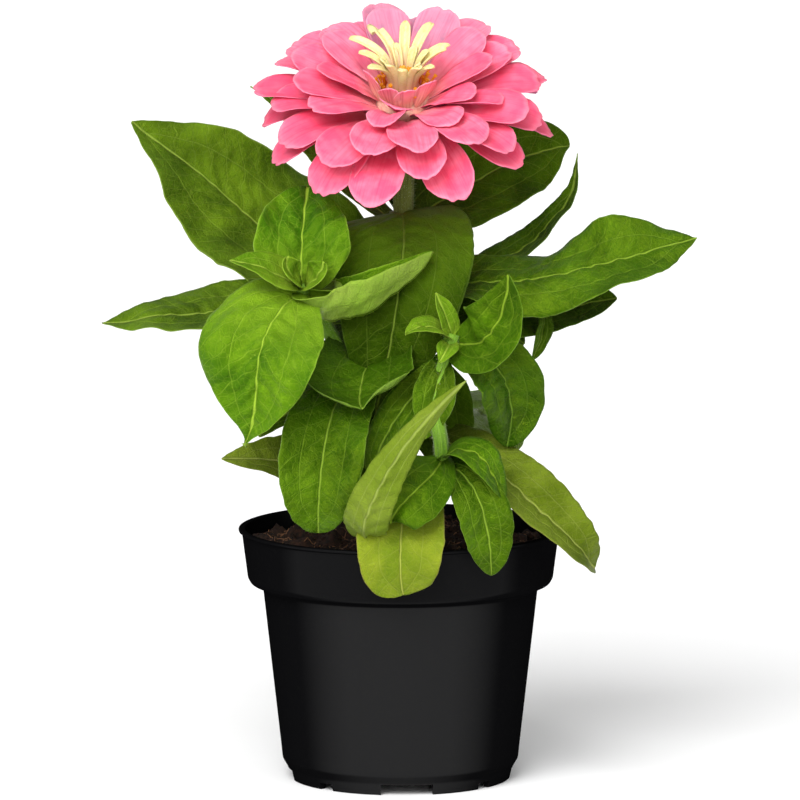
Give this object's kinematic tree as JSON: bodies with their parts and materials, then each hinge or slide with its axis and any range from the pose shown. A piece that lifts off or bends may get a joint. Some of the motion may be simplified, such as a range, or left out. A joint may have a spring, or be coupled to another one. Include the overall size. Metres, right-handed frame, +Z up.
{
  "type": "potted zinnia flower",
  "caption": "Zinnia in bloom growing in a round plastic nursery pot, with layered ray petals, strap-shaped centre florets and leafy stems.",
  "frame": {"origin": "middle of the pot's foot, on the surface the pot stands on", "axes": "+Z up, -Y towards the front, where the bloom leans; +X to the viewer's right"},
  "size_m": [0.2191, 0.1535, 0.2858],
  "materials": {
    "pot": "black injection-moulded polypropylene, satin",
    "soil": "damp peat potting soil, rough",
    "leaf": "living zinnia leaf and stem, soft satin with fine hairs",
    "petal": "living ray petal, matt with fine lengthwise veins",
    "cream_floret": "living cream floret, matt",
    "orange_floret": "living orange disc floret, matt"
  },
  "bodies": {
    "root": {"pot": "pot", "soil": "soil", "main_stem": "leaf", "right_shoot": "leaf", "low_shoot": "leaf", "ray_petals": "petal", "cream_florets": "cream_floret", "disc_florets": "orange_floret"}
  },
  "joints": []
}
